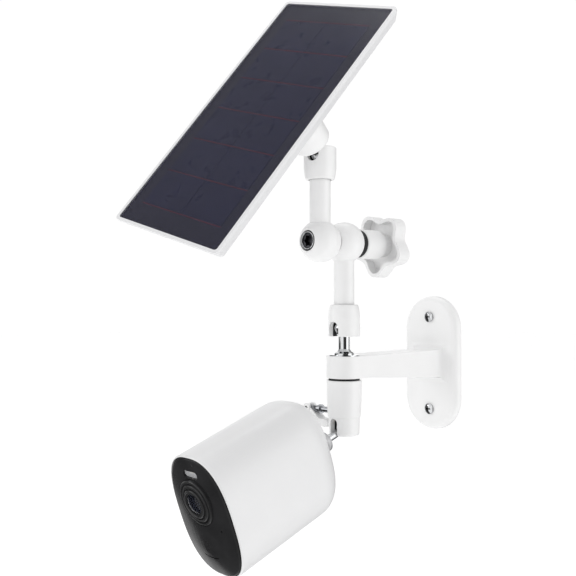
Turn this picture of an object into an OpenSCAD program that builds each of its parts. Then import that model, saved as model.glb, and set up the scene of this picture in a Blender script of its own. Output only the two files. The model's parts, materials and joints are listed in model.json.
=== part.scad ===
// Solar-powered security camera on a wall bracket, in millimetres.
// The wall is the plane Y = 0, the room or yard is towards -Y, and +Z is up.

/* [Wall bracket] */
// Height of the wall plate
plate_h = 116; // [104:1:124]
// Width of the wall plate
plate_w = 56; // [50:1:62]
// Thickness of the wall plate
plate_t = 8; // [7:0.5:10]
// Distance between the two wall screws
screw_pitch = 80; // [70:1:84]
// Distance from the wall to the axis of the pole
arm_reach = 115; // [105:1:125]
// Width of the arm
arm_w = 28; // [27:0.5:30]

/* [Pole] */
// Height of the elbow above the middle of the plate
elbow_z = 99.5; // [92:0.5:110]
// Height of the upper ball above the elbow
upper_ball_rise = 65; // [60:0.5:75]
// Radius of the two tubes
tube_r = 8.05; // [7.5:0.05:8.1]
// Radius of the two balls that make the elbow
elbow_r = 16.2; // [15.5:0.1:16.5]
// Distance between the axes of the two tubes
elbow_step = 26.2; // [26:0.1:27]

/* [Ball joints] */
// Radius of the pole's two steel balls
ball_r = 8; // [7.8:0.1:8]
// Radius of the necks of those two ball studs
neck_r = 4.5; // [4:0.1:4.5]
// Outer radius of the two slotted cups
cup_r = 12.5; // [11.8:0.1:12.8]
// Radius of the ball that carries the camera
camera_ball_r = 7; // [6.8:0.1:7]

/* [Star knob] */
// Mean radius of the five-lobed outline
knob_r = 23.4; // [22:0.1:24]
// How far a lobe stands out from the mean radius
knob_lobe = 3.2; // [2.5:0.1:4]

/* [Camera] */
// Height of the camera housing
camera_h = 90.5; // [86:0.5:92]
// Width of the camera housing
camera_w = 64; // [62:0.5:66]
// Distance from the ball to the front rim of the housing
camera_front = 141; // [138:0.2:146]
// How far the camera looks below the horizontal, in degrees
camera_pitch = 19.8; // [15:0.1:25]

/* [Solar panel] */
// Length of the panel
panel_l = 241; // [230:1:255]
// Width of the panel
panel_w = 116; // [110:0.5:118]
// Thickness of the panel
panel_t = 9.5; // [9:0.5:11]
// Angle between the panel's stud and the vertical, in degrees
panel_tilt = 57; // [50:0.1:60]
// Turn of the upper cup's slot towards +X, in degrees
panel_heading = 17.4; // [0:0.1:25]
// Turn of the panel about its own stud, in degrees
panel_roll = -19.1; // [-30:0.1:0]

/* [Hidden] */

white = [0.93, 0.93, 0.93];
chrome = [0.75, 0.76, 0.78];
black = [0.06, 0.06, 0.07];
brass = [0.78, 0.62, 0.3];
fine = 96;
run_gap = 0.08; // radial clearance of a shaft in its bore
eps = 0.01;

// ---- Heights and depths worked out from the driving dimensions ----
arm_tip_top = 11;
arm_tip_low = -6.2;
arm_root_half = 11.8;
root_fillet = 6;
plate_edge_r = 5;
shank_r = 4; // both M8 shanks
lower_ball_z = 32.8;
cup_lip = 6.6; // from the ball's centre to the cup's open rim
cup_len = 24.8;
cup_bore = 8.3;
thread_r = cup_bore - run_gap;
upper_axis_y = -arm_reach - elbow_step;
upper_ball_z = elbow_z + upper_ball_rise;
elbow_face = elbow_step / 2; // from each elbow ball's centre to the face between them
knob_front = 16.4; // from the lower tube's axis to the front of the knob's hub
collar_top = -8;
collar_seam = -36.8;
collar_low = -50.9;
camera_ball_z = -45.8;
clamp_z = -33.2;
lever_x = -38.8;
camera_rear = 34.4;
housing_rise = 2.5;
housing_round = 24;
housing_wall = 2.2;
rim_wall = 1.1; // thickness of the housing at its front rim
face_inset = rim_wall + 0.35;
section_power = 2.6;
face_edge = camera_front - 0.4;
face_round = 1.2; // height of the rounding round the face's edge
face_bulge = 4.5; // how far the face rises above that rounding
face_drop = 22; // how far below the middle the face's highest point sits
lens_seat = face_edge - 0.4; // plane that the lens is measured from
lens_y = 12.8;
spot_y = 32.6;
hub_low = 15.3; // from the panel's ball to the hub's face
hub_t = 18.7;
hub_r = 15;
panel_low = hub_low + hub_t;
panel_centre = [-39.5, -3.3];
mic_at = [19.2, -4.6];

// ---- Frames ----
module on_pole(z) translate([0, -arm_reach, z]) children();
// In the camera's frame x is sideways, y is up the camera and z runs forward from the ball
module in_camera() on_pole(camera_ball_z) rotate([90 + camera_pitch, 0, 0]) children();
module in_housing() in_camera() translate([0, housing_rise, 0]) children();
// In the panel's frame x is across the panel, y is along it and z is its normal
module in_panel()
    translate([0, upper_axis_y, upper_ball_z]) rotate([0, 0, panel_heading])
        rotate([panel_tilt, 0, 0]) rotate([0, 0, panel_roll]) children();
module in_upper_cup()
    translate([0, upper_axis_y, upper_ball_z]) rotate([0, 0, panel_heading])
        mirror([0, 0, 1]) children();
// Runs a piece's own z along -Y, from the plane y
module forward_from(y) translate([0, y, 0]) rotate([90, 0, 0]) children();

// ---- Shared shapes ----
module tube(r, bore, z0, z1) difference() {
    translate([0, 0, z0]) cylinder(r = r, h = z1 - z0, $fn = fine);
    translate([0, 0, z0 - 1]) cylinder(r = bore, h = z1 - z0 + 2, $fn = fine);
}
module rounded_rect(size, r) {
    square([size.x - 2 * r, size.y], center = true);
    square([size.x, size.y - 2 * r], center = true);
    for (x = [-1, 1], y = [-1, 1])
        translate([x * (size.x / 2 - r), y * (size.y / 2 - r)]) circle(r, $fn = 48);
}
module slab(size, r, z0) translate([0, 0, z0]) linear_extrude(size.z) rounded_rect([size.x, size.y], r);
function oval(half, z, power, n) = [
    for (i = [0:n - 1]) let (a = 360 * i / n, c = cos(a), s = sin(a))
        [half.x * sign(c) * pow(abs(c), 2 / power), half.y * sign(s) * pow(abs(s), 2 / power), z]
];
function shifted(ring, by) = [for (p = ring) p + by];
// A closed solid through rings that all have the same number of points
module loft(rings) {
    n = len(rings[0]);
    last = len(rings) - 1;
    polyhedron(
        points = [for (ring = rings) each ring],
        faces = concat(
            [[for (i = [0:n - 1]) i]],
            [for (k = [0:last - 1], i = [0:n - 1]) let (j = (i + 1) % n)
                [k * n + i, (k + 1) * n + i, (k + 1) * n + j, k * n + j]],
            [[for (i = [n - 1:-1:0]) last * n + i]]
        ));
}

// ---- Wall bracket ----
module plate_half_section() {
    square([plate_w / 2 - plate_edge_r, plate_t]);
    square([plate_w / 2, plate_t - plate_edge_r]);
    translate([plate_w / 2 - plate_edge_r, plate_t - plate_edge_r]) circle(plate_edge_r, $fn = fine);
}
module plate_body() {
    straight = plate_h - plate_w;
    for (end = [-1, 1])
        translate([0, 0, end * straight / 2]) forward_from(0)
            rotate_extrude($fn = fine) intersection() {
                plate_half_section();
                square([plate_w, plate_t]);
            }
    for (side = [0, 1]) mirror([side, 0, 0])
        translate([0, 0, -straight / 2]) linear_extrude(straight) mirror([0, 1]) intersection() {
            plate_half_section();
            square([plate_w, plate_t]);
        }
}
module root_corner(r) difference() {
    square(r);
    translate([r, r]) circle(r, $fn = fine);
}
module arm_plan() {
    translate([0, -arm_reach]) circle(arm_w / 2, $fn = fine);
    translate([-arm_w / 2, -arm_reach]) square([arm_w, arm_reach - plate_t + 1]);
    for (side = [0, 1]) mirror([side, 0])
        translate([arm_w / 2 - eps, -plate_t + eps]) mirror([0, 1]) root_corner(root_fillet);
}
module arm_side() {
    polygon([
        [-arm_reach - arm_w, arm_tip_top], [-arm_reach + arm_w / 2, arm_tip_top],
        [-plate_t, arm_root_half], [-plate_t + 1, arm_root_half],
        [-plate_t + 1, -arm_root_half], [-plate_t, -arm_root_half],
        [-arm_reach + arm_w / 2, arm_tip_low], [-arm_reach - arm_w, arm_tip_low]
    ]);
    for (side = [0, 1]) mirror([0, side])
        translate([-plate_t + eps, arm_root_half - 0.1]) mirror([1, 0]) root_corner(root_fillet);
}
module wall_bracket() color(white) difference() {
    union() {
        plate_body();
        intersection() {
            translate([0, 0, -40]) linear_extrude(80) arm_plan();
            translate([-40, 0, 0]) rotate([90, 0, 90]) linear_extrude(80) arm_side();
        }
        on_pole(arm_tip_low - 6.8) cylinder(r = 7, h = 8, $fn = fine);
    }
    on_pole(-30) cylinder(r = shank_r + run_gap, h = 60, $fn = fine);
    for (side = [-1, 1]) translate([0, 0, side * screw_pitch / 2])
        forward_from(1) cylinder(r = 2.6, h = plate_t + 2, $fn = 48);
}
module cross_recess(width, depth) for (turn = [0, 90]) rotate([0, 0, turn])
    translate([-width / 2, -0.55, -depth]) cube([width, 1.1, depth + 2]);
module wall_screws() color(chrome)
    for (side = [-1, 1]) translate([0, 0, side * screw_pitch / 2]) {
        forward_from(-plate_t) difference() {
            intersection() {
                cylinder(r = 4.6, h = 2.8, $fn = 64);
                translate([0, 0, -4.6]) sphere(7.4, $fn = 64);
            }
            translate([0, 0, 2.8]) cross_recess(4.6, 1.7);
        }
        forward_from(0) cylinder(r = 1.9, h = plate_t + 0.5, $fn = 48);
        forward_from(14) cylinder(r = 2.1, h = 14, $fn = 48);
        translate([0, 14, 0]) rotate([-90, 0, 0]) cylinder(r1 = 2.1, r2 = 0.5, h = 3.5, $fn = 48);
    }
module arm_washer() color(chrome) on_pole(0) tube(12.1, shank_r + run_gap, arm_tip_top, arm_tip_top + 0.8);

// ---- Lower ball stud and what holds it under the arm ----
module lower_ball_stud() color(chrome) on_pole(0) {
    seat = arm_tip_top + 0.85;
    rotate_extrude($fn = fine) polygon([
        [0, seat - 33], [shank_r, seat - 33], [shank_r, seat], [7.85, seat], [7.85, seat + 1.2],
        [5.6, seat + 2.6], [neck_r, seat + 4.4], [neck_r, lower_ball_z - 5], [0, lower_ball_z - 5]
    ]);
    translate([0, 0, lower_ball_z]) sphere(ball_r, $fn = fine);
}
module retaining_washer() color(chrome) on_pole(0)
    tube(9.2, shank_r + 0.02, arm_tip_low - 8.2, arm_tip_low - 6.9);
module lock_nut() color(chrome) on_pole(arm_tip_low - 14.7) difference() {
    cylinder(r = 7.2, h = 6.4, $fn = 6);
    translate([0, 0, -1]) cylinder(r = shank_r + 0.02, h = 9, $fn = fine);
}

// ---- Swivel collar under the arm ----
module thrust_washer() color(black) on_pole(0) tube(12.2, 7 + run_gap, collar_top, arm_tip_low - 0.05);
module collar_body() color(white) on_pole(0) difference() {
    rotate_extrude($fn = fine) polygon([
        [7 + run_gap, collar_top], [13.4, collar_top], [13.85, collar_top - 0.5], [13.7, collar_top - 12],
        [12.95, collar_seam + 0.5], [12.6, collar_seam], [6.3, collar_seam], [6.3, -24.6],
        [9.8, -24.6], [9.8, collar_top - 4.6], [7 + run_gap, collar_top - 4.6]
    ]);
    translate([0, 0, clamp_z]) rotate([0, -90, 0]) cylinder(r = 2.4 + run_gap, h = 20, $fn = 48);
}
module collar_cap() color(white) on_pole(0) difference() {
    rotate_extrude($fn = fine) polygon([
        [0, collar_seam], [12.2, collar_seam], [11.9, collar_low + 1.6],
        [11.3, collar_low + 0.4], [10.4, collar_low], [0, collar_low]
    ]);
    translate([0, 0, camera_ball_z]) {
        sphere(camera_ball_r + 0.3, $fn = fine);
        cylinder(r = camera_ball_r + 0.3, h = 20, $fn = fine);
        translate([0, 0, -8]) cylinder(r = 5.2, h = 6, $fn = fine);
        translate([-3.5, -20, -10]) cube([7, 20, 15]);
        translate([0, 0, 5]) forward_from(0) cylinder(r = 3.5, h = 20, $fn = 64);
    }
}
module clamp_plunger() color(brass) on_pole(0) difference() {
    translate([0, 0, camera_ball_z + 5]) cylinder(r = 6.15, h = 16.6, $fn = fine);
    translate([0, 0, camera_ball_z]) sphere(camera_ball_r + 0.35, $fn = fine);
    translate([-20, 0, clamp_z]) rotate([0, 90, 0]) cylinder(r = 3.1, h = 19.4, $fn = 48);
}

// ---- Clamp screw and its folding lever, on the collar's -X side ----
module on_clamp_axis() on_pole(clamp_z) rotate([0, -90, 0]) children();
module clamp_screw() color(chrome) on_clamp_axis() difference() {
    union() {
        translate([0, 0, 3]) cylinder(r = 2.4, h = 27, $fn = 48);
        translate([0, 0, 1.2]) cylinder(r1 = 1, r2 = 2.4, h = 1.8, $fn = 48);
        translate([-2.4, -1.9, 29]) cube([4.8, 3.8, -lever_x + 2.4 - 29]);
    }
    translate([0, 6, -lever_x]) rotate([90, 0, 0]) cylinder(r = 1.5, h = 12, $fn = 48);
}
module clamp_flange() color(chrome) on_clamp_axis() {
    tube(3.7, 2.4, 24.8, 27.2);
    tube(3, 2.4, 27.2, 29);
}
module lever_pin() color(chrome) on_pole(clamp_z) translate([lever_x, 0, 0])
    rotate([90, 0, 0]) translate([0, 0, -4.6]) cylinder(r = 1.5, h = 9.2, $fn = 48);
module clamp_lever() color(white) on_pole(clamp_z) translate([lever_x, 0, 0]) difference() {
    union() {
        rotate([90, 0, 0]) translate([0, 0, -4.4]) cylinder(r = 3.8, h = 8.8, $fn = 64);
        hull() {
            rotate([90, 0, 0]) translate([0, 0, -3.6]) cylinder(r = 2.6, h = 7.2, $fn = 32);
            translate([13, 0, -9.4]) rotate([90, 0, 0]) translate([0, 0, -4.2])
                cylinder(r = 2.5, h = 8.4, $fn = 32);
        }
        hull() for (x = [13, 21]) translate([x, 0, x == 13 ? -9.4 : -10.4])
            rotate([90, 0, 0]) translate([0, 0, -4.2]) cylinder(r = x == 13 ? 2.5 : 3, h = 8.4, $fn = 32);
    }
    rotate([90, 0, 0]) translate([0, 0, -6]) cylinder(r = 1.5 + run_gap, h = 12, $fn = 48);
    rotate([90, 0, 0]) translate([0, 0, -2.25]) cylinder(r = 3.9, h = 4.5, $fn = 64);
    translate([0, -2.25, -3.1]) cube([20, 4.5, 12]);
}

// ---- Camera's ball stud ----
module camera_ball_stud() color(chrome) in_camera() {
    sphere(camera_ball_r, $fn = fine);
    rotate_extrude($fn = 64) polygon([
        [0, 3], [2.9, 3], [2.9, 18.5], [4.6, 20], [4.6, 22.3], [3.1, 22.5], [3.1, 42], [2.4, 43], [0, 43]
    ]);
}
module stud_lock_disc() color(chrome) in_camera() {
    tube(8, 3.15, 22.5, 26.6);
    tube(5.6, 3.15, 26.6, camera_rear - 0.1);
}

// ---- Camera housing ----
function housing_ring(z, inset) =
    oval([camera_w / 2 - inset, camera_h / 2 - inset], z, section_power, fine);
function round_back(wall, steps) = [
    for (i = [0:steps]) let (a = 90 - 90 * i / steps, r = housing_round - wall)
        [camera_rear + wall + r * (1 - sin(a)), wall + r * (1 - cos(a))]
];
housing_skin = [
    for (p = round_back(0, 12)) housing_ring(p[0], p[1]),
    housing_ring(camera_front - 0.8, 0), housing_ring(camera_front, 0.6)
];
module button_hole(grow) translate([0, -camera_h / 2, camera_front - 26])
    rotate([90, 0, 0]) slab([9 + 2 * grow, 14 + 2 * grow, 12], 2.5, -6);
module camera_housing() color(white) in_housing() difference() {
    loft(housing_skin);
    loft(concat(
        [for (p = round_back(housing_wall, 12)) housing_ring(p[0], p[1])],
        [housing_ring(camera_front - 8.4, housing_wall), housing_ring(camera_front - 6.4, rim_wall),
            housing_ring(camera_front + 1, rim_wall)]));
    translate([0, -housing_rise, camera_rear - 2]) cylinder(r = 6.6, h = 8, $fn = 64);
    button_hole(0);
    translate([0, -camera_h / 2, 78]) rotate([90, 0, 0]) slab([16, 7, 8], 2, -4);
}
module mount_insert() color(chrome) in_camera() {
    tube(6.5, 3.2, camera_rear + 0.1, 45);
    tube(9, 3.2, camera_rear + housing_wall + 0.1, camera_rear + housing_wall + 2.1);
}
module charge_contacts() color(black) in_housing() translate([0, -camera_h / 2 + 0.6, 78])
    rotate([90, 0, 0]) difference() {
        slab([15.8, 6.8, 2.4], 1.9, -2.4);
        for (x = [-4.5, 0, 4.5]) translate([x, 0, -1]) cylinder(r = 1.1, h = 3, $fn = 32);
    }
module release_button() color([0.82, 0.82, 0.83]) in_housing()
    translate([0, -camera_h / 2, camera_front - 26]) rotate([90, 0, 0]) {
        slab([8.4, 13.4, 2.6], 2.2, -2.6);
        slab([11, 16, 1], 2.5, -3.6);
    }
module button_spring() color(chrome) in_housing()
    translate([-3, -camera_h / 2 + housing_wall, camera_front - 26]) difference() {
        translate([0, 0.05, -11.5]) cube([6, 4.4, 23]);
        translate([-1, -1, -10.5]) cube([8, 4.95, 21]);
    }

// ---- Camera core: the face and everything that slides out with it ----
core_gap = 0.5;
function core_ring(z) = housing_ring(z, housing_wall + core_gap);
module core_frame() color([0.18, 0.18, 0.19]) in_housing() difference() {
    loft([core_ring(68), core_ring(face_edge - 5)]);
    loft([for (z = [70, face_edge - 7]) housing_ring(z, housing_wall + core_gap + 1.8)]);
    translate([-9, -camera_h / 2, 60]) cube([18, 9, face_edge - 65.5]);
    translate([0, lens_y, 100]) cylinder(r = 10, h = 60, $fn = 64);
    translate([0, spot_y, 100]) cylinder(r = 4, h = 60, $fn = 48);
    translate([0, -24, 100]) cylinder(r = 6, h = 60, $fn = 48);
    translate([mic_at.x, mic_at.y, 100]) cylinder(r = 3, h = 60, $fn = 48);
    translate([-14, -24, 100]) cylinder(r = 3, h = 60, $fn = 48);
}
// The face's dome: its middle sits low, over the motion sensor
function edge_rise(s) = s < 0.95 ? 1 : sqrt(max(0, 1 - pow((s - 0.95) / 0.05, 2)));
function face_ring(s, inset, sink) = shifted(
    oval([(camera_w / 2 - inset) * s, (camera_h / 2 - inset) * s],
        face_edge - sink + face_bulge * (1 - pow(s, 1.5)) + face_round * edge_rise(s), section_power, fine),
    [0, -face_drop * (1 - s), 0]);
function face_dome(inset, sink, base) = concat(
    [oval([camera_w / 2 - inset, camera_h / 2 - inset], base, section_power, fine)],
    [for (s = [1, 0.995, 0.985, 0.97, 0.95, 0.9, 0.82, 0.7, 0.56, 0.4, 0.25, 0.12])
        face_ring(s, inset, sink)]);
module pill(length, width, h) linear_extrude(h) rounded_rect([length, width], width / 2 - eps);
module curved_slit() translate([0, 12.4, 0]) rotate([0, 0, 258.5]) rotate_extrude(angle = 23, $fn = 2 * fine)
    translate([39.8, 0]) square([0.8, 60]);
module front_bezel() color(black) in_housing() difference() {
    loft(face_dome(face_inset, 0, face_edge - 4.4));
    loft(face_dome(face_inset + 2.2, 2, face_edge - 6));
    translate([0, lens_y, 100]) cylinder(r = 16.6, h = 60, $fn = fine);
    translate([0, spot_y, 100]) pill(15.6, 5.2, 60);
    translate([mic_at.x, mic_at.y, 100]) cylinder(r = 0.7, h = 60, $fn = 24);
    translate([0, 0, 100]) curved_slit();
}
module face_gasket() color([0.1, 0.1, 0.1]) in_housing() difference() {
    loft([for (z = [face_edge - 4.9, face_edge - 4.45]) housing_ring(z, housing_wall + 0.3)]);
    loft([for (z = [face_edge - 6, face_edge]) housing_ring(z, housing_wall + 2)]);
}
module lens_ring() color(black) in_housing() translate([0, lens_y, lens_seat]) rotate_extrude($fn = fine)
    polygon([
        [8.6, -3.6], [16.4, -3.6], [16.4, 4.9], [16, 5.4], [14.9, 5.5], [14.5, 4.5],
        [13.7, 4.5], [13.3, 5.6], [12.9, 6], [11.6, 6.1], [11.2, 5.2], [10.5, 5.2],
        [10.2, 6.5], [9.8, 6.9], [8.9, 7], [8.6, 6.7]
    ]);
module lens_barrel() color(black) in_housing() translate([0, lens_y, 0]) {
    tube(8.5, 7.4, 126, lens_seat + 6.5);
    tube(7.4, 3.4, 128, 131);
}
module lens_glass() color([0.1, 0.12, 0.2]) in_housing() translate([0, lens_y, 0]) intersection() {
    translate([0, 0, lens_seat - 6]) sphere(14.2, $fn = fine);
    translate([0, 0, lens_seat + 3]) cylinder(r = 7.35, h = 12, $fn = fine);
}
module sensor_board() color([0.1, 0.3, 0.18]) in_housing() translate([0, lens_y, 0]) {
    slab([26, 26, 1.6], 1, 124.2);
    slab([9, 9, 1.4], 0.3, 125.8);
}
module spotlight_window() color([0.85, 0.87, 0.9, 0.5]) in_housing() translate([0, spot_y, face_edge - 1.2])
    pill(15.2, 4.8, 2.2);
module spotlight_board() color([0.95, 0.93, 0.8]) in_housing() translate([0, spot_y, 0]) {
    slab([18, 5.6, 1.2], 0.8, face_edge - 4.4);
    for (x = [-4.2, 4.2]) translate([x, 0, 0]) slab([3.5, 3.5, 1.4], 0.3, face_edge - 3.2);
}
module pir_sensor() color(chrome) in_housing() translate([0, -24, 0]) {
    translate([0, 0, face_edge - 4.8]) cylinder(r = 4.6, h = 3.6, $fn = 48);
    translate([0, 0, face_edge - 5.6]) cylinder(r = 5.2, h = 0.8, $fn = 48);
}
module microphone() color(chrome) in_housing() translate([mic_at.x, mic_at.y, face_edge - 6.6])
    cylinder(r = 2, h = 2.2, $fn = 32);
module speaker() color([0.2, 0.2, 0.2]) in_housing() translate([0, -14, 114]) {
    cylinder(r = 11, h = 3.5, $fn = 64);
    translate([0, 0, -3]) cylinder(r = 6.5, h = 3, $fn = 64);
}
module main_board() color([0.1, 0.3, 0.18]) in_housing() {
    slab([42, 58, 1.6], 4, 108);
    translate([-8, 12, 0]) slab([14, 14, 2], 0.5, 105.9);
    translate([10, -6, 0]) slab([12, 9, 1.6], 0.5, 106.3);
    translate([0, 27, 0]) slab([24, 4, 4], 0.5, 109.6);
}
module battery_pack() color([0.25, 0.27, 0.3]) in_housing() {
    slab([46, 62, 30], 8, 73);
    translate([0, 0, 0]) slab([20, 8, 1.2], 1, 103);
}

// ---- Pole: the two slotted cups, their seats and the two tubes of the elbow ----
// A cup's own frame has its ball at the origin and its open rim towards -z
module slotted_cup() difference() {
    rotate_extrude($fn = fine) polygon([
        [0, -cup_lip], [cup_r - 0.5, -cup_lip], [cup_r, -cup_lip + 0.5], [cup_r, cup_len - cup_lip - 9],
        [cup_r - 0.3, cup_len - cup_lip - 6], [cup_r - 0.7, cup_len - cup_lip - 3.4],
        [cup_r - 1.2, cup_len - cup_lip - 1.2], [cup_r - 1.5, cup_len - cup_lip - 0.5],
        [cup_r - 2.1, cup_len - cup_lip], [0, cup_len - cup_lip]
    ]);
    sphere(cup_bore, $fn = fine);
    cylinder(r = cup_bore, h = 40, $fn = fine);
    translate([0, 0, -cup_lip - 1]) cylinder(r = 6.4, h = 3, $fn = fine);
    translate([-neck_r - 0.4, -20, -20]) cube([2 * neck_r + 0.8, 20, 20]);
    forward_from(0) cylinder(r = neck_r + 0.4, h = 20, $fn = 64);
}
module cup_seat() difference() {
    translate([0, 0, 5.2]) cylinder(r = cup_bore - 0.05, h = 4.4, $fn = fine);
    sphere(cup_bore + 0.05, $fn = fine);
}
module lower_cup() color(white) on_pole(lower_ball_z) slotted_cup();
module lower_ball_seat() color([0.9, 0.88, 0.8]) on_pole(lower_ball_z) cup_seat();
module upper_cup() color(white) in_upper_cup() slotted_cup();
module upper_ball_seat() color([0.9, 0.88, 0.8]) in_upper_cup() cup_seat();
// One tube with its half of the elbow. z runs from the elbow's centre to the ball joint, and
// the two elbow halves meet at y = face. The other side of the ball is cut flat at y = back.
module elbow_half(rise, face, back) difference() {
    union() {
        intersection() {
            sphere(elbow_r, $fn = fine);
            translate([-20, min(face, back), -20]) cube([40, abs(face - back), 40]);
        }
        cylinder(r = tube_r, h = rise - 9, $fn = fine);
        translate([0, 0, rise - 16.6]) cylinder(r = thread_r, h = 6.6, $fn = fine);
    }
    translate([0, 0, elbow_r + 2]) cylinder(r = 5.2, h = rise, $fn = 64);
    translate([0, 0, rise - 10]) cylinder(r = 12, h = 20, $fn = 64);
    forward_from(30) cylinder(r = shank_r + run_gap, h = 60, $fn = fine);
}
module lower_tube() color(white) on_pole(elbow_z) mirror([0, 0, 1])
    elbow_half(elbow_z - lower_ball_z, -elbow_face + 0.5, 12.8);
module upper_tube() color(white) translate([0, upper_axis_y, elbow_z]) difference() {
    elbow_half(upper_ball_rise, elbow_face - 0.5, -13.5);
    forward_from(-8) cylinder(r = 8, h = 10, $fn = fine);
}
module friction_disc() color([0.25, 0.25, 0.25]) on_pole(elbow_z) forward_from(-elbow_face)
    tube(8.6, shank_r + 0.4, -0.45, 0.5);
module torx_recess(r, depth) translate([0, 0, -depth]) linear_extrude(depth + 1) {
    circle(r * 0.8, $fn = 48);
    for (i = [0:5]) rotate(60 * i) translate([r * 0.76, 0]) circle(r * 0.24, $fn = 24);
}
module elbow_bolt() color(chrome) translate([0, upper_axis_y, elbow_z]) {
    forward_from(-8.05) difference() {
        rotate_extrude($fn = fine) polygon([
            [0, 0], [7.1, 0], [7.1, 4.6], [6.7, 5.1], [6, 5.1], [5.5, 4.3], [0, 4.3]
        ]);
        translate([0, 0, 4.3]) torx_recess(4.6, 3);
    }
    forward_from(elbow_step + 44) cylinder(r = shank_r, h = elbow_step + 44 + 8.1, $fn = fine);
}
module knob_washer() color(black) on_pole(elbow_z) forward_from(knob_front - 0.1)
    tube(11, shank_r + 0.4, 0, knob_front - 12.9);

// ---- Star knob ----
knob_rim = 38.3; // from the lower tube's axis to the open side of the star
knob_depth = 12.2;
knob_wall = 3.1;
function star(offset_in, n) = [
    for (i = [0:n - 1]) let (a = 360 * i / n) (knob_r - offset_in + knob_lobe * cos(5 * (a + 25.6)))
        * [cos(a), sin(a)]
];
module star_knob() color(white) on_pole(elbow_z) difference() {
    union() {
        forward_from(knob_rim + knob_depth) difference() {
            linear_extrude(knob_depth) polygon(star(0, 140));
            translate([0, 0, 3.6]) linear_extrude(knob_depth) polygon(star(knob_wall, 140));
        }
        forward_from(knob_rim + knob_depth) rotate_extrude($fn = fine) polygon([
            [0, 0], [9.4, 0], [9.4, knob_depth + 0.2], [11.2, knob_depth + 0.6], [11.8, knob_depth + 1.2],
            [11.8, knob_rim + knob_depth - knob_front - 0.7],
            [11.1, knob_rim + knob_depth - knob_front], [0, knob_rim + knob_depth - knob_front]
        ]);
    }
    forward_from(knob_rim + 6) cylinder(r = 6.6, h = 60, $fn = 64);
}
module knob_insert() color(brass) on_pole(elbow_z) forward_from(0)
    tube(6.55, shank_r + 0.05, -knob_rim - 5.9, -knob_front - 0.4);

// ---- Panel's ball stud and hub ----
module panel_ball_stud() color(chrome) in_panel() {
    sphere(ball_r, $fn = fine);
    rotate_extrude($fn = fine) polygon([
        [0, 4], [neck_r, 4], [neck_r, hub_low - 1.6], [6.4, hub_low - 0.6], [6.4, hub_low - 0.15],
        [3.1, hub_low - 0.1], [3.1, hub_low + 9], [0, hub_low + 9]
    ]);
}
module panel_hub() color(white) in_panel() difference() {
    rotate_extrude($fn = fine) {
        translate([0, hub_low]) square([hub_r - 3, hub_t]);
        translate([0, hub_low + 3]) square([hub_r, hub_t - 3]);
        translate([hub_r - 3, hub_low + 3]) circle(3, $fn = 48);
    }
    translate([0, 0, hub_low - 1]) cylinder(r = 3.1 + run_gap, h = 11, $fn = 64);
    for (turn = [0:120:240]) rotate([0, 0, turn + 30]) translate([9, 0, hub_low - 1]) {
        cylinder(r = 1.5, h = hub_t + 2, $fn = 32);
        cylinder(r = 2.6, h = 6, $fn = 32);
    }
}
module hub_screws() color(chrome) in_panel()
    for (turn = [0:120:240]) rotate([0, 0, turn + 30]) translate([9, 0, 0]) {
        translate([0, 0, hub_low + 3]) difference() {
            cylinder(r = 2.4, h = 2, $fn = 32);
            translate([0, 0, -0.1]) mirror([0, 0, 1]) cross_recess(2.6, 1);
        }
        translate([0, 0, hub_low + 5]) cylinder(r = 1.25, h = hub_t - 4, $fn = 32);
    }

// ---- Solar panel ----
bezel = 2.6;
side_draft = 3;
module on_panel() in_panel() translate([panel_centre.x, panel_centre.y, 0]) children();
module panel_tray() color(white) on_panel() difference() {
    hull() {
        slab([panel_w, panel_l, 2.4], 4, panel_low + panel_t - 2.4);
        slab([panel_w - 2 * side_draft, panel_l - 2 * side_draft, 1], 3, panel_low);
    }
    slab([panel_w - 2 * bezel, panel_l - 2 * bezel, 5], 2.4, panel_low + panel_t - 2.6);
    slab([panel_w - 2 * side_draft - 4, panel_l - 2 * side_draft - 4, 10], 3, panel_low + 2);
    translate([20, -80, panel_low - 1]) cylinder(r = 4, h = 5, $fn = 48);
    translate(-panel_centre) for (turn = [0:120:240]) rotate([0, 0, turn + 30])
        translate([9, 0, panel_low - 1]) cylinder(r = 1.3, h = 5, $fn = 32);
}
module panel_backsheet() color([0.13, 0.13, 0.15]) on_panel()
    slab([panel_w - 2 * bezel - 0.2, panel_l - 2 * bezel - 0.2, 1.1], 2.3, panel_low + panel_t - 2.6);
cell_rows = 6;
glass_w = panel_w - 2 * bezel - 0.2;
glass_l = panel_l - 2 * bezel - 0.2;
margin_w = 11.5;
margin_l = 18;
cell_h = (glass_l - 2 * margin_l) / cell_rows;
cell_w = (glass_w - 2 * margin_w) / 2;
module solar_cells() color([0.05, 0.06, 0.12]) on_panel()
    for (row = [0:cell_rows - 1], side = [-1, 1])
        translate([side * cell_w / 2, (row - (cell_rows - 1) / 2) * cell_h, panel_low + panel_t - 1.5])
            translate([-cell_w / 2 + 0.25, -cell_h / 2 + 0.9, 0]) cube([cell_w - 0.5, cell_h - 1.8, 0.3]);
module cell_ribbons() color([0.5, 0.15, 0.12]) on_panel()
    for (row = [0:cell_rows]) translate([0, (row - cell_rows / 2) * cell_h, panel_low + panel_t - 1.35])
        cube([2 * cell_w, 0.7, 0.3], center = true);
module panel_glass() color([0.2, 0.25, 0.35, 0.4]) on_panel()
    slab([glass_w, glass_l, 0.8], 2.3, panel_low + panel_t - 1.15);
module cable_gland() color(black) on_panel() translate([20, -80, panel_low]) {
    tube(3.9, 1.9, -3, 3.4);
    tube(5.4, 1.9, -1.4, -0.02);
}
module charge_board() color([0.1, 0.3, 0.18]) on_panel() translate([-8, -80, 0]) {
    slab([36, 22, 1.2], 1, panel_low + 2);
    for (x = [-10, 2]) translate([x, 2, 0]) slab([7, 7, 1.6], 0.3, panel_low + 3.2);
}

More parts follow.
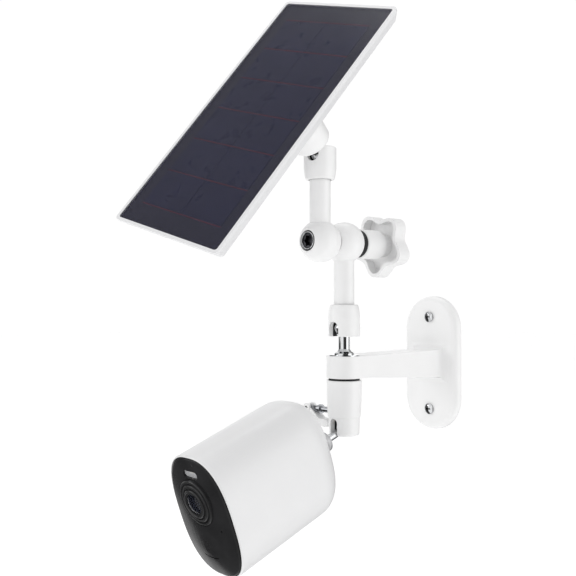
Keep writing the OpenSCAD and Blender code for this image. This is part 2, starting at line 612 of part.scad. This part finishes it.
wall_bracket();
wall_screws();
arm_washer();
lower_ball_stud();
retaining_washer();
lock_nut();
thrust_washer();
collar_body();
collar_cap();
clamp_plunger();
clamp_screw();
clamp_flange();
lever_pin();
clamp_lever();
camera_ball_stud();
stud_lock_disc();
camera_housing();
mount_insert();
charge_contacts();
release_button();
button_spring();
core_frame();
front_bezel();
face_gasket();
lens_ring();
lens_barrel();
lens_glass();
sensor_board();
spotlight_window();
spotlight_board();
pir_sensor();
microphone();
speaker();
main_board();
battery_pack();
lower_cup();
lower_ball_seat();
lower_tube();
knob_washer();
upper_tube();
friction_disc();
elbow_bolt();
star_knob();
knob_insert();
upper_cup();
upper_ball_seat();
panel_ball_stud();
panel_hub();
hub_screws();
panel_tray();
panel_backsheet();
solar_cells();
cell_ribbons();
panel_glass();
cable_gland();
charge_board();
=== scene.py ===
import bpy, bmesh, json, math
from mathutils import Vector, Matrix


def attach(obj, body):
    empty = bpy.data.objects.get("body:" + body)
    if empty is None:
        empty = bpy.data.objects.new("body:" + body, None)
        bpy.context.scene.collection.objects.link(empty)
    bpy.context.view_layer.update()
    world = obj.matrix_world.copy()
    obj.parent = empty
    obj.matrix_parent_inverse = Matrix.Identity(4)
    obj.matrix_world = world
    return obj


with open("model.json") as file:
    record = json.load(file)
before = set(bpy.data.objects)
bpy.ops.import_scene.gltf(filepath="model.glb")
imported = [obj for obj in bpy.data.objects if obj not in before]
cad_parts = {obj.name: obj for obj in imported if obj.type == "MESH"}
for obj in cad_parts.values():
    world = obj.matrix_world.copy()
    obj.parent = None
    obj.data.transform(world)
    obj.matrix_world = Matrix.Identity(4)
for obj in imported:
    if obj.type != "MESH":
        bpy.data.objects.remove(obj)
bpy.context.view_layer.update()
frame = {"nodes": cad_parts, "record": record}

MM = 0.001
scene = bpy.context.scene
nodes = frame["nodes"]
joint = {j["name"]: j for j in frame["record"]["behaviour"]["joints"]}

# Sizes in millimetres, the same as in the CAD
PLATE_T = 8
SCREW_PITCH = 80
SCREW_DOME_R = 7.4  # the sphere that rounds a wall screw's head
SCREW_DOME_DROP = 4.6  # from the plate's face back to that sphere's centre
CAMERA_CUP_BORE = 7.3
POLE_CUP_BORE = 8.3
HOUSING_H = 90.5
HOUSING_RISE = 2.5  # the housing's middle lies this far above the camera's ball
FACE_EDGE = 140.6  # from the camera's ball forward to the edge of the black face
LENS_Y = 12.8
SPOT_Y = 32.6
CONTACTS_FORWARD = 78
DISC_R, DISC_BACK, DISC_FRONT = 8.2, 22.7, 26.4
BOLT_FACE = 13.1  # from the elbow's outer plane to the middle of the bolt's rim
PANEL_W, PANEL_L, PANEL_T = 116, 241, 9.5
PANEL_BACK = 34  # from the panel's ball to the back of the tray
PANEL_MIDDLE = (-39.5, -3.3)
PANEL_ROLL = math.radians(-19.1)
GLASS_BORDER = 2.7
CELL_ROWS = 6
CELL_MARGIN_W, CELL_MARGIN_L = 11.5, 18


# ---------------------------------------------------------------- shader helpers
def add(tree, kind, **values):
    """A new shader node. Each value sets the input of that name, or else the property."""
    node = tree.nodes.new(kind)
    for key, value in values.items():
        if key in node.inputs.keys():
            node.inputs[key].default_value = value
        else:
            setattr(node, key, value)
    return node


def feed(tree, socket, value):
    """Links another node's output to a socket, or sets the socket to a constant."""
    if isinstance(value, bpy.types.NodeSocket):
        tree.links.new(value, socket)
    else:
        socket.default_value = value


def noise(tree, scale, detail=3.0, rough=0.5):
    where = add(tree, "ShaderNodeTexCoord").outputs["Object"]
    node = add(tree, "ShaderNodeTexNoise", Scale=scale, Detail=detail, Roughness=rough)
    tree.links.new(where, node.inputs["Vector"])
    return node.outputs["Fac"]


def ramp(tree, value, stops):
    """Colours between two stops, each a place from 0 to 1 and a colour."""
    node = add(tree, "ShaderNodeValToRGB")
    for element, (place, colour) in zip(node.color_ramp.elements, stops):
        element.position = place
        element.color = (*colour, 1)
    tree.links.new(value, node.inputs["Fac"])
    return node.outputs["Color"]


def span(tree, value, low, high, out_low, out_high):
    """Carries low..high over to out_low..out_high."""
    node = add(tree, "ShaderNodeMapRange")
    ends = {"From Min": low, "From Max": high, "To Min": out_low, "To Max": out_high}
    for key, number in ends.items():
        node.inputs[key].default_value = number
    tree.links.new(value, node.inputs["Value"])
    return node.outputs["Result"]


def maths(tree, kind, *values):
    node = add(tree, "ShaderNodeMath", operation=kind)
    for socket, value in zip(node.inputs, values):
        feed(tree, socket, value)
    return node.outputs[0]


def vectors(tree, kind, *values):
    node = add(tree, "ShaderNodeVectorMath", operation=kind)
    for socket, value in zip(node.inputs, values):
        feed(tree, socket, value)
    return node.outputs["Value" if kind == "LENGTH" else "Vector"]


def bump(tree, shader, height, relief_mm):
    node = add(tree, "ShaderNodeBump", Strength=1.0, Distance=relief_mm * MM)
    tree.links.new(height, node.inputs["Height"])
    tree.links.new(node.outputs["Normal"], shader.inputs["Normal"])


def choose(tree, factor, off, on):
    """The number off where the factor is 0, and on where it is 1."""
    node = add(tree, "ShaderNodeMix")
    for index, value in ((0, factor), (2, off), (3, on)):
        feed(tree, node.inputs[index], value)
    return node.outputs[0]


def choose_colour(tree, factor, off, on):
    """The colour off where the factor is 0, and on where it is 1."""
    node = add(tree, "ShaderNodeMix", data_type="RGBA")
    for index, value in ((0, factor), (6, off), (7, on)):
        feed(tree, node.inputs[index], value)
    return node.outputs[2]


# ---------------------------------------------------------------- kinds of material
def new_material(name, base, roughness, metallic=0.0, ior=1.46, coat=0.0, specular=0.5):
    mat = bpy.data.materials.new(name)
    mat.use_nodes = True
    tree = mat.node_tree
    shader = tree.nodes["Principled BSDF"]
    shader.inputs["Base Color"].default_value = (*base, 1)
    shader.inputs["Roughness"].default_value = roughness
    shader.inputs["Metallic"].default_value = metallic
    shader.inputs["IOR"].default_value = ior
    shader.inputs["Coat Weight"].default_value = coat
    shader.inputs["Coat Roughness"].default_value = 0.06
    shader.inputs["Specular IOR Level"].default_value = specular
    return mat, tree, shader


def grained(name, base, roughness, grain_mm, relief_mm, spread=0.03, rough_spread=0.06, **kw):
    """A moulded, painted or rubber surface: fine relief, a little mottling and uneven gloss."""
    mat, tree, shader = new_material(name, base, roughness, **kw)
    low = [max(0, c * (1 - spread)) for c in base]
    high = [min(1, c * (1 + spread)) for c in base]
    cloud = noise(tree, 38, 4, 0.55)
    tree.links.new(ramp(tree, cloud, [(0.3, low), (0.7, high)]), shader.inputs["Base Color"])
    patch = noise(tree, 95, 3, 0.6)
    uneven = span(tree, patch, 0.3, 0.7, roughness - rough_spread, roughness + rough_spread)
    tree.links.new(uneven, shader.inputs["Roughness"])
    bump(tree, shader, noise(tree, 1 / (grain_mm * MM), 2, 0.5), relief_mm)
    return mat


def metal(name, base, roughness, marks=420, relief_mm=0.004, spread=0.08):
    """Turned or plated metal: fine marks and uneven polish."""
    mat, tree, shader = new_material(name, base, roughness, metallic=1.0)
    low = [c * (1 - spread) for c in base]
    high = [min(1, c * (1 + spread)) for c in base]
    lines = noise(tree, marks, 3, 0.6)
    tree.links.new(ramp(tree, lines, [(0.25, low), (0.75, high)]), shader.inputs["Base Color"])
    uneven = span(tree, noise(tree, 160), 0.3, 0.7, roughness * 0.7, roughness * 1.5)
    tree.links.new(uneven, shader.inputs["Roughness"])
    bump(tree, shader, lines, relief_mm)
    return mat


def clear(name, tint, roughness, alpha, specular):
    """A thin clear or tinted cover, mostly see-through."""
    mat, tree, shader = new_material(name, tint, roughness, ior=1.5, specular=specular)
    shader.inputs["Alpha"].default_value = alpha
    uneven = span(tree, noise(tree, 70), 0.3, 0.7, roughness * 0.7, roughness * 1.4)
    tree.links.new(uneven, shader.inputs["Roughness"])
    low = [c * 0.9 for c in tint]
    cloud = noise(tree, 24, 2)
    tree.links.new(ramp(tree, cloud, [(0.3, low), (0.7, tint)]), shader.inputs["Base Color"])
    return mat


def paint(name):
    return grained(name, (0.85, 0.85, 0.85), 0.42, 0.9, 0.012, 0.012, coat=0.15)


def chrome(name):
    return metal(name, (0.68, 0.69, 0.70), 0.08)


def paint_recess_shade(mat, inside):
    """Painted shade, near black, where inside is 1: in a bore or a driver's recess."""
    tree = mat.node_tree
    socket = tree.nodes["Principled BSDF"].inputs["Base Color"]
    outer = socket.links[0].from_socket
    # The near-black colour is painted shade, not the metal's own colour.
    tree.links.new(choose_colour(tree, inside, outer, (0.022, 0.022, 0.024, 1)), socket)


def within(tree, vector, limit_mm):
    """1 where the vector is shorter than the limit, and 0 beyond it."""
    blur_mm = 0.1
    length = vectors(tree, "LENGTH", vector)
    return span(tree, length, (limit_mm - blur_mm) * MM, limit_mm * MM, 1.0, 0.0)


def cup_paint_bore_shade(name, centre, bore):
    """White paint outside, with painted shade (near black) inside the vertical bore through a centre."""
    mat = paint(name)
    tree = mat.node_tree
    where = add(tree, "ShaderNodeTexCoord").outputs["Object"]
    shifted = vectors(tree, "SUBTRACT", where, tuple(centre))
    flat = vectors(tree, "MULTIPLY", shifted, (1, 1, 0))
    # How far past the bore, in millimetres, the painted shade reaches.
    shade_margin = 0.6
    paint_recess_shade(mat, within(tree, flat, bore + shade_margin))
    return mat


def screw_chrome():
    """Bright domed heads. What lies below the dome's own sphere, in front of the plate, is painted dark
    as shade in the driver's recess.
    """
    mat = chrome("screw_chrome")
    tree = mat.node_tree
    where = add(tree, "ShaderNodeTexCoord").outputs["Object"]
    folded = vectors(tree, "ABSOLUTE", where)
    dome_centre = (0, (PLATE_T - SCREW_DOME_DROP) * MM, SCREW_PITCH / 2 * MM)
    from_dome = vectors(tree, "SUBTRACT", folded, dome_centre)
    apart = add(tree, "ShaderNodeSeparateXYZ")
    tree.links.new(where, apart.inputs["Vector"])
    in_front = span(tree, apart.outputs["Y"], -(PLATE_T + 0.7) * MM, -(PLATE_T + 0.5) * MM, 1.0, 0.0)
    recess = within(tree, from_dome, SCREW_DOME_R - 0.15)
    # The recess is painted near black as shade, not as the chrome's own colour.
    paint_recess_shade(mat, maths(tree, "MULTIPLY", recess, in_front))
    return mat


def lamp_material():
    mat = grained("lamp", (0.85, 0.83, 0.74), 0.3, 0.6, 0.004, 0.05)
    shader = mat.node_tree.nodes["Principled BSDF"]
    shader.inputs["Emission Color"].default_value = (1.0, 0.97, 0.9, 1)
    shader.inputs["Emission Strength"].default_value = 0.55
    return mat


# ---------------------------------------------------------------- materials by slot
M = {
    "white_paint": paint("powder_coat"),
    "white_shell": grained("shell_plastic", (0.78, 0.78, 0.785), 0.36, 0.35, 0.004, 0.008, 0.03,
                           coat=0.1),
    "white_knob": grained("knob_plastic", (0.83, 0.83, 0.83), 0.44, 0.5, 0.010, 0.012),
    "white_tray": grained("tray_plastic", (0.76, 0.76, 0.77), 0.40, 0.4, 0.006, 0.010),
    "grey_button": grained("button_plastic", (0.45, 0.45, 0.46), 0.55, 0.3, 0.010, 0.03),
    "black_gloss": grained("black_face", (0.021, 0.021, 0.022), 0.24, 0.5, 0.001, 0.25, 0.04,
                           specular=0.12),
    "black_satin": grained("black_plastic", (0.020, 0.020, 0.021), 0.33, 0.3, 0.004, 0.2),
    "rubber": grained("black_rubber", (0.014, 0.014, 0.015), 0.72, 0.4, 0.014, 0.25),
    "nylon": grained("nylon", (0.66, 0.63, 0.54), 0.5, 0.5, 0.008),
    "battery_wrap": grained("pack_case", (0.03, 0.032, 0.038), 0.5, 0.4, 0.012, 0.12),
    "board_green": grained("circuit_board", (0.010, 0.075, 0.035), 0.38, 0.6, 0.02, 0.2),
    "led_board": grained("led_board", (0.80, 0.74, 0.50), 0.4, 0.6, 0.02, 0.06),
    "backsheet": grained("backing_sheet", (0.036, 0.034, 0.036), 0.42, 0.6, 0.006, 0.06, 0.04),
    "cell_silicon": grained("silicon", (0.018, 0.020, 0.060), 0.3, 0.4, 0.0005, 0.2, 0.05),
    "ribbon": grained("gap_line", (0.26, 0.03, 0.04), 0.4, 0.4, 0.004, 0.15),
    "chrome": chrome("chrome"),
    "dark_chrome": metal("dark_chrome", (0.42, 0.43, 0.45), 0.2),
    "black_steel": metal("black_steel", (0.05, 0.05, 0.055), 0.3),
    "steel": metal("turned_steel", (0.50, 0.50, 0.51), 0.3, 900, 0.01),
    "brass": metal("brass", (0.66, 0.47, 0.20), 0.28, 900, 0.01),
    "cover_glass": clear("cover_glass", (0.030, 0.030, 0.062), 0.16, 0.35, 0.22),
    "lens_glass": clear("lens_glass", (0.020, 0.022, 0.032), 0.05, 0.45, 0.5),
    "clear_window": clear("clear_window", (0.75, 0.76, 0.78), 0.2, 0.45, 0.5),
}
LAMP = lamp_material()
COATING = grained("lens_coating", (0.030, 0.012, 0.050), 0.06, 0.5, 0.0002, 0.3, 0.02, coat=0.6)
FINGER = metal("finger_line", (0.05, 0.05, 0.08), 0.5, relief_mm=0.0005)

for part in frame["record"]["subparts"]:
    holder = nodes[part["node"]]
    holder.data.materials.clear()
    holder.data.materials.append(M[part["material_slot"]])

# The cups are slotted, so their bores are seen; inside them shade is painted near black. Each stands on
# the joint of its own ball
CUPS = {
    "collar_cap": ("camera_tilt", CAMERA_CUP_BORE),
    "lower_cup": ("lower_ball_lean", POLE_CUP_BORE),
    "upper_cup": ("panel_tilt", POLE_CUP_BORE),
}
for cup, (ball, bore) in CUPS.items():
    nodes[cup].data.materials[0] = cup_paint_bore_shade(cup + "_paint", joint[ball]["pos_m"], bore)
nodes["wall_screws"].data.materials[0] = screw_chrome()


# ---------------------------------------------------------------- helpers for new pieces
def frame_of(origin, x_axis, z_axis):
    """A piece's own frame, from its origin in metres and two axes."""
    z, x = Vector(z_axis).normalized(), Vector(x_axis)
    x = (x - z * x.dot(z)).normalized()
    turn = Matrix((x, z.cross(x), z)).transposed().to_4x4()
    return Matrix.Translation(Vector(origin)) @ turn


def at(place, x=0.0, y=0.0, z=0.0):
    """A frame moved by millimetres along its own axes."""
    return place @ Matrix.Translation((x * MM, y * MM, z * MM))


def turned_frame(place, degrees, axis):
    return place @ Matrix.Rotation(math.radians(degrees), 4, axis)


def piece(name, body, slot, place, build, material=None, smooth=True):
    """A new solid, built in millimetres in its own frame, riding on a body."""
    mesh = bpy.data.meshes.new(name)
    work = bmesh.new()
    build(work)
    bmesh.ops.remove_doubles(work, verts=work.verts, dist=1e-5)
    bmesh.ops.recalc_face_normals(work, faces=work.faces)
    work.transform(place @ Matrix.Scale(MM, 4))
    if smooth:
        for face in work.faces:
            face.smooth = True
        for edge in work.edges:
            if len(edge.link_faces) == 2 and edge.calc_face_angle(0) > math.radians(35):
                edge.smooth = False
    work.to_mesh(mesh)
    work.free()
    mesh.materials.append(material or M[slot])
    obj = bpy.data.objects.new(name, mesh)
    scene.collection.objects.link(obj)
    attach(obj, body)


def turned(profile, segments=96, wobble=None):
    """A closed (radius, height) outline turned about z. wobble adds to the radius round the circle."""
    def on_axis(point):
        return point[0] < 1e-6

    def build(work):
        rows = []
        for i in range(segments):
            angle = 2 * math.pi * i / segments
            row = []
            for radius, height in profile:
                r = radius + (wobble(i, radius) if wobble else 0)
                row.append(work.verts.new((r * math.cos(angle), r * math.sin(angle), height)))
            rows.append(row)
        for i in range(segments):
            a, b = rows[i], rows[(i + 1) % segments]
            for k in range(len(profile)):
                m = (k + 1) % len(profile)
                if on_axis(profile[k]) and on_axis(profile[m]):
                    continue
                ring = [a[k], b[k], b[m], a[m]]
                if on_axis(profile[k]):
                    ring = [a[k], b[m], a[m]]
                elif on_axis(profile[m]):
                    ring = [a[k], b[k], a[m]]
                work.faces.new(ring)
    return build


def round_ring(radius, wire_r, steps=12):
    """The outline of a ring of round wire."""
    angles = [2 * math.pi * k / steps for k in range(steps)]
    return [(radius + wire_r * math.cos(a), wire_r * math.sin(a)) for a in angles]


def dome(radius, rise, base=0.0, steps=8):
    """The outline of a low dome on a thin foot."""
    foot = 0.05
    angles = [math.pi / 2 * k / steps for k in range(steps)]
    arc = [(radius * math.cos(a), base + rise * math.sin(a)) for a in angles]
    return [(0, base - foot), (radius, base - foot)] + arc + [(0, base + rise)]


def bars(boxes):
    """Long thin solids, each given by its centre and size."""
    def build(work):
        for centre, size in boxes:
            corners = bmesh.ops.create_cube(work, size=1)["verts"]
            bmesh.ops.scale(work, vec=size, verts=corners)
            bmesh.ops.translate(work, vec=centre, verts=corners)
    return build


def outline(width, length, radius, steps=8):
    """The points of a rounded rectangle."""
    points = []
    for sx, sy, start in ((1, 1, 0), (-1, 1, 90), (-1, -1, 180), (1, -1, 270)):
        for k in range(steps + 1):
            angle = math.radians(start + 90 * k / steps)
            points.append((sx * (width / 2 - radius) + radius * math.cos(angle),
                           sy * (length / 2 - radius) + radius * math.sin(angle)))
    return points


def raised_frame(width, length, radius, rib, low, high):
    """A rib that runs round a rounded rectangle, with its top edges eased."""
    ease, drop = 0.3, 0.25
    levels = [(0, low), (0, high - drop), (ease, high),
              (rib - ease, high), (rib, high - drop), (rib, low)]

    def build(work):
        loops = []
        for inset, height in levels:
            ring = outline(width - 2 * inset, length - 2 * inset, radius - inset)
            loops.append([work.verts.new((x, y, height)) for x, y in ring])
        for a, b in zip(loops, loops[1:] + loops[:1]):
            for i in range(len(a)):
                j = (i + 1) % len(a)
                work.faces.new((a[i], a[j], b[j], b[i]))
    return build


def eased(name, width, angle=40, segments=3):
    """Rounds a CAD node's sharp edges, as moulding does."""
    change = nodes[name].modifiers.new("eased_edges", "BEVEL")
    change.width = width * MM
    change.segments = segments
    change.limit_method = "ANGLE"
    change.angle_limit = math.radians(angle)
    change.harden_normals = True
    change.use_clamp_overlap = True


# ---------------------------------------------------------------- camera: lock disc, lamps and lens
# The camera's frame: x sideways, y up the camera, z forward from its ball
roll = joint["camera_roll"]
camera_axis = frame_of(roll["pos_m"], joint["camera_tilt"]["axis"], roll["axis"])
housing = at(camera_axis, y=HOUSING_RISE)
lens_place = at(housing, y=LENS_Y, z=FACE_EDGE - 0.4)


def knurled_disc(teeth=72, depth=0.22):
    """The grip round the lock disc: every second half tooth is cut back."""
    rim = [(DISC_R - 0.5, DISC_BACK), (DISC_R - 0.25, DISC_BACK), (DISC_R, DISC_BACK + 0.3),
           (DISC_R, DISC_FRONT - 0.3), (DISC_R - 0.25, DISC_FRONT), (DISC_R - 0.5, DISC_FRONT)]

    def cut(i, radius):
        return -depth if i % 4 in (2, 3) and radius == DISC_R else 0
    return turned(rim, teeth * 4, cut)


piece("lock_disc_knurl", "camera_stud", "steel", camera_axis, knurled_disc())

for side, word in ((-1, "left"), (1, "right")):
    lamp_place = at(housing, side * 4.2, SPOT_Y, FACE_EDGE - 1.8)
    piece(f"spot_lamp_{word}", "camera_core", "led_board", lamp_place, turned(dome(1.55, 0.5), 40), LAMP)

# The stop steps down from the lens ring to the inner lens
STOP = [(7.35, 2.9), (7.35, 1.2), (5.9, 0.9), (5.7, 0.1), (4.6, -0.1), (4.4, -0.9),
        (3.4, -1.1), (3.4, -2.2), (7.35, -2.2), (7.38, 0.6), (7.38, 2.95)]
piece("lens_stop", "camera_core", "black_satin", lens_place, turned(STOP))
piece("lens_inner_glass", "camera_core", "lens_glass", lens_place,
      turned(dome(3.35, 1.5, -1.9), 64), COATING)

# ---------------------------------------------------------------- elbow: the bolt's bright rim
elbow_x, _, elbow_z = joint["elbow_swing"]["pos_m"]
outer_y = joint["panel_tilt"]["pos_m"][1]
bolt_axis = frame_of((elbow_x, outer_y, elbow_z), (1, 0, 0), (0, -1, 0))
piece("bolt_rim", "upper_arm", "chrome", at(bolt_axis, z=BOLT_FACE), turned(round_ring(6.35, 0.42)))
eased("star_knob", 0.9)

# ---------------------------------------------------------------- charging contacts: brass pins
PIN_PITCH = 4.5
underside = turned_frame(at(housing, y=0.6 - HOUSING_H / 2, z=CONTACTS_FORWARD), 90, "X")
for n in range(3):
    pin_place = at(underside, x=(n - 1) * PIN_PITCH)
    piece(f"contact_pin_{n + 1}", "camera", "brass", pin_place, turned(dome(0.95, 0.5, -0.95), 32))

# ---------------------------------------------------------------- panel: printed lines and rib
# The panel's frame: x across, y along, z out of the glass
spin = joint["panel_spin"]
stud_axis = frame_of(spin["pos_m"], joint["panel_tilt"]["axis"], spin["axis"])
panel_place = at(stud_axis @ Matrix.Rotation(PANEL_ROLL, 4, "Z"), *PANEL_MIDDLE)
cell_w = (PANEL_W - 2 * (GLASS_BORDER + CELL_MARGIN_W)) / 2
cell_l = (PANEL_L - 2 * (GLASS_BORDER + CELL_MARGIN_L)) / CELL_ROWS
cell_top = PANEL_BACK + PANEL_T - 1.2


def cell_lines(middle_x, middle_y, fingers=26):
    """Thin fingers along one cell, and two wider bars that cross them."""
    pitch = (cell_w - 2.4) / (fingers - 1)
    lines = []
    for k in range(fingers):
        x = middle_x + (k - (fingers - 1) / 2) * pitch
        lines.append(((x, middle_y, cell_top + 0.005), (0.09, cell_l - 2.6, 0.03)))
    for side in (-1, 1):
        y = middle_y + side * cell_l / 4
        lines.append(((middle_x, y, cell_top + 0.01), (cell_w - 1.6, 0.35, 0.04)))
    return lines


printed = []
for row in range(CELL_ROWS):
    for side in (-1, 1):
        printed += cell_lines(side * cell_w / 2, (row - (CELL_ROWS - 1) / 2) * cell_l)
piece("cell_fingers", "panel", "cell_silicon", panel_place, bars(printed), FINGER, smooth=False)

RIB_INSET = 8
piece("tray_rib", "panel", "white_tray", turned_frame(at(panel_place, z=PANEL_BACK), 180, "X"),
      raised_frame(PANEL_W - 2 * RIB_INSET, PANEL_L - 2 * RIB_INSET, 8, 2.2, -0.3, 0.7))

# ---------------------------------------------------------------- viewpoint and floor
HEADING = math.radians(48)
eye = bpy.data.objects.new("photo_camera", bpy.data.cameras.new("photo_camera"))
scene.collection.objects.link(eye)
eye.location = (0.4376, -0.5682, 0.0542)
eye.rotation_euler = (math.radians(90.9), 0, HEADING)
eye.data.lens = 50
eye.data.sensor_width = 36
eye.data.clip_end = 60
scene.camera = eye

floor_mesh = bpy.data.meshes.new("floor")
grid = bmesh.new()
bmesh.ops.create_grid(grid, x_segments=8, y_segments=8, size=12)
grid.to_mesh(floor_mesh)
grid.free()
paper = grained("paper", (0.86, 0.86, 0.86), 0.9, 3.0, 0.02, 0.004)
paper_shader = paper.node_tree.nodes["Principled BSDF"]
paper_shader.inputs["Emission Color"].default_value = (1, 1, 1, 1)
paper_shader.inputs["Emission Strength"].default_value = 0.40
floor_mesh.materials.append(paper)
floor = bpy.data.objects.new("floor", floor_mesh)
floor.location = (0, 0, -0.5)
floor.visible_glossy = False
scene.collection.objects.link(floor)

# ---------------------------------------------------------------- studio light
# The sky seen by the camera is plain white. What lights the object is soft, a little stronger
# from its two sides, from the front and from above. Polished metal mirrors a ring of three
# bright panels with dark between them, and a bright ceiling.
world = bpy.data.worlds.new("studio")
world.use_nodes = True
sky = world.node_tree
direction = add(sky, "ShaderNodeTexCoord").outputs["Generated"]
apart = add(sky, "ShaderNodeSeparateXYZ")
sky.links.new(direction, apart.inputs["Vector"])
east, north, height = apart.outputs["X"], apart.outputs["Y"], apart.outputs["Z"]
RIGHT = (math.cos(HEADING), math.sin(HEADING))


def along(x, y):
    return maths(sky, "ADD", maths(sky, "MULTIPLY", east, x), maths(sky, "MULTIPLY", north, y))


sideways = along(RIGHT[0], RIGHT[1])
forward = along(RIGHT[1], -RIGHT[0])
both_sides = maths(sky, "MULTIPLY", sideways, sideways)
from_sides = maths(sky, "MULTIPLY_ADD", both_sides, 0.36, 0.46)
from_front = maths(sky, "MULTIPLY_ADD", forward, 0.17, from_sides)
diffuse_sky = maths(sky, "MULTIPLY_ADD", height, 0.23, from_front)

PANELS, PANELS_TURN, CEILING = 3.0, -3.93, 0.85
bearing = maths(sky, "ARCTAN2", sideways, forward)
wave = maths(sky, "COSINE", maths(sky, "MULTIPLY_ADD", bearing, PANELS, PANELS_TURN))
panels = span(sky, wave, -0.25, 0.45, 0.05, 1.15)
overhead = span(sky, height, 0.35, 0.8, 0.0, 1.0)
mirror_sky = choose(sky, overhead, panels, CEILING)

path = add(sky, "ShaderNodeLightPath")
unseen_sky = choose(sky, path.outputs["Is Glossy Ray"], diffuse_sky, mirror_sky)
strength = choose(sky, path.outputs["Is Camera Ray"], unseen_sky, 1.02)
background = sky.nodes["Background"]
background.inputs["Color"].default_value = (1, 1, 1, 1)
sky.links.new(strength, background.inputs["Strength"])
scene.world = world
scene.view_settings.view_transform = "Standard"


def softbox(name, place, size, power, target=(0, -0.15, 0.05)):
    """A rectangular area light, in metres and watts, aimed at the object's middle."""
    data = bpy.data.lights.new(name, "AREA")
    data.shape = "RECTANGLE"
    data.size, data.size_y = size
    data.energy = power
    light = bpy.data.objects.new(name, data)
    light.location = place
    aim = Vector(target) - Vector(place)
    light.rotation_euler = aim.to_track_quat("-Z", "Y").to_euler()
    scene.collection.objects.link(light)


softbox("key", (1.57, 0.5, 0.15), (1.0, 1.4), 3.4)
softbox("left", (-1.25, -1.6, 0.6), (0.9, 1.4), 8)
softbox("top", (-0.5, 0.2, 1.9), (1.2, 1.2), 9)
